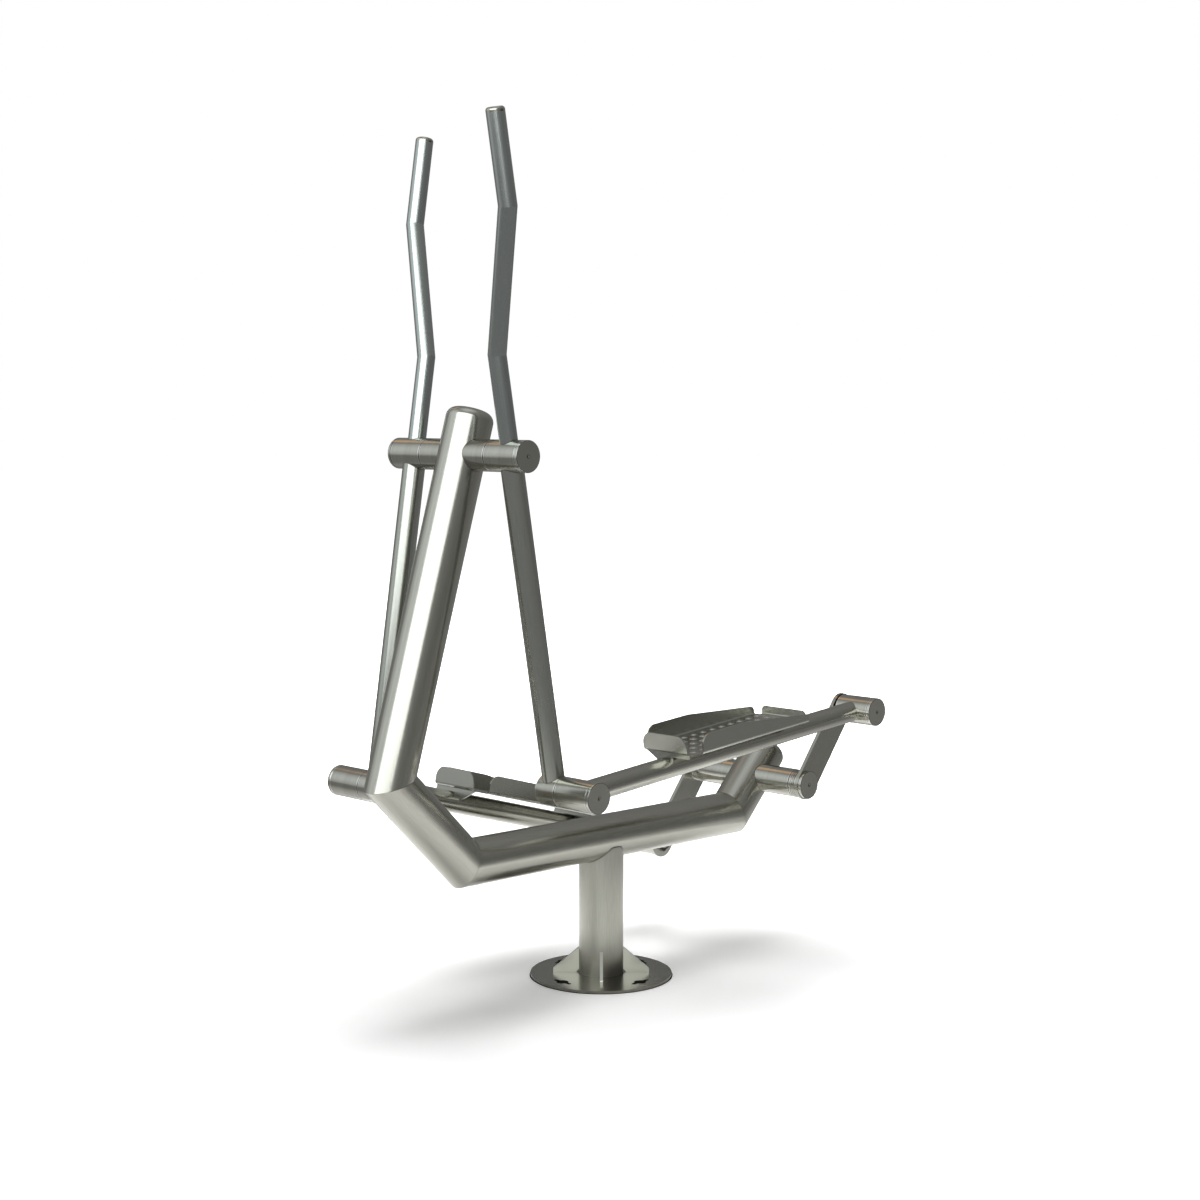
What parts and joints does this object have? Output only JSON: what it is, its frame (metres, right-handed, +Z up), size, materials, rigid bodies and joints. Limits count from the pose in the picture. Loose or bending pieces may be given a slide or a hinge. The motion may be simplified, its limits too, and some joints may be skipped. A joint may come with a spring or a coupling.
{
  "type": "outdoor elliptical cross trainer",
  "caption": "Outdoor elliptical cross trainer on one post: coupled crank, foot arms with studded footplates and swinging hand levers in satin stainless tube.",
  "frame": {"origin": "centre of the round base plate's underside", "axes": "+X towards the mast, the way the user faces; +Y to the user's left; +Z up"},
  "size_m": [1.1966, 0.5268, 1.6449],
  "materials": {
    "satin_steel": "satin, fine brushed grain",
    "shaft_steel": "turned"
  },
  "bodies": {
    "frame": {"base_plate": "satin_steel", "gusset_front_left": "satin_steel", "gusset_rear_left": "satin_steel", "gusset_rear_right": "satin_steel", "gusset_front_right": "satin_steel", "post": "satin_steel", "main_beam": "satin_steel", "front_tube": "satin_steel", "mast": "satin_steel", "mast_cap": "satin_steel", "rear_upright": "satin_steel", "rear_upright_cap": "satin_steel", "handle_axle_housing": "satin_steel", "handle_axle": "shaft_steel", "crank_housing": "satin_steel", "left_crank_bearing": "shaft_steel", "right_crank_bearing": "shaft_steel"},
    "crankset": {"crank_shaft": "shaft_steel", "left_crank_boss": "satin_steel", "left_crank_plate": "satin_steel", "left_crank_cap": "satin_steel", "left_crank_pin": "shaft_steel", "right_crank_boss": "satin_steel", "right_crank_plate": "satin_steel", "right_crank_cap": "satin_steel", "right_crank_pin": "shaft_steel"},
    "left_lever": {"left_lever_hub": "satin_steel", "left_lever_hub_cap": "satin_steel", "left_lever_bush": "shaft_steel", "left_lever_lower_tube": "satin_steel", "left_lever_upper_tube": "satin_steel", "left_grip_cap": "satin_steel", "left_lever_foot_hub": "satin_steel", "left_lever_foot_pin": "shaft_steel"},
    "right_lever": {"right_lever_hub": "satin_steel", "right_lever_hub_cap": "satin_steel", "right_lever_bush": "shaft_steel", "right_lever_lower_tube": "satin_steel", "right_lever_upper_tube": "satin_steel", "right_grip_cap": "satin_steel", "right_lever_foot_hub": "satin_steel", "right_lever_foot_pin": "shaft_steel"},
    "left_foot_arm": {"left_arm_tube": "satin_steel", "left_arm_front_hub": "satin_steel", "left_arm_front_cap": "satin_steel", "left_arm_rear_hub": "satin_steel", "left_arm_rear_cap": "satin_steel", "left_arm_bush": "shaft_steel", "left_footplate": "satin_steel", "left_toe_bracket": "satin_steel", "left_heel_bracket": "satin_steel"},
    "right_foot_arm": {"right_arm_tube": "satin_steel", "right_arm_front_hub": "satin_steel", "right_arm_front_cap": "satin_steel", "right_arm_rear_hub": "satin_steel", "right_arm_rear_cap": "satin_steel", "right_arm_bush": "shaft_steel", "right_footplate": "satin_steel", "right_toe_bracket": "satin_steel", "right_heel_bracket": "satin_steel"}
  },
  "joints": [
    {"name": "crank_turn", "type": "hinge", "parent": "frame", "child": "crankset", "pos_m": [-0.45553, 0, 0.34597], "axis": [0, 1, 0], "range_deg": [0, 180]},
    {"name": "left_arm_pivot", "type": "hinge", "parent": "crankset", "child": "left_foot_arm", "pos_m": [-0.57408, 0.1924, 0.49662], "axis": [0, 1, 0], "range_deg": [-200.8, 0]},
    {"name": "right_arm_pivot", "type": "hinge", "parent": "crankset", "child": "right_foot_arm", "pos_m": [-0.33698, -0.1924, 0.19532], "axis": [0, 1, 0], "range_deg": [-159.3, 0]},
    {"name": "left_lever_swing", "type": "hinge", "parent": "frame", "child": "left_lever", "pos_m": [0.3664, 0.1312, 1.04539], "axis": [0, 1, 0], "range_deg": [-19.1, 0]},
    {"name": "right_lever_swing", "type": "hinge", "parent": "frame", "child": "right_lever", "pos_m": [0.3664, -0.1312, 1.04539], "axis": [0, 1, 0], "range_deg": [0, 19.1]}
  ],
  "couplings": [
    {"joint": "left_arm_pivot", "follows": "crank_turn", "ratio": -1.1155},
    {"joint": "right_arm_pivot", "follows": "crank_turn", "ratio": -0.88452},
    {"joint": "left_lever_swing", "follows": "crank_turn", "ratio": -0.10581},
    {"joint": "right_lever_swing", "follows": "crank_turn", "ratio": 0.10581}
  ]
}
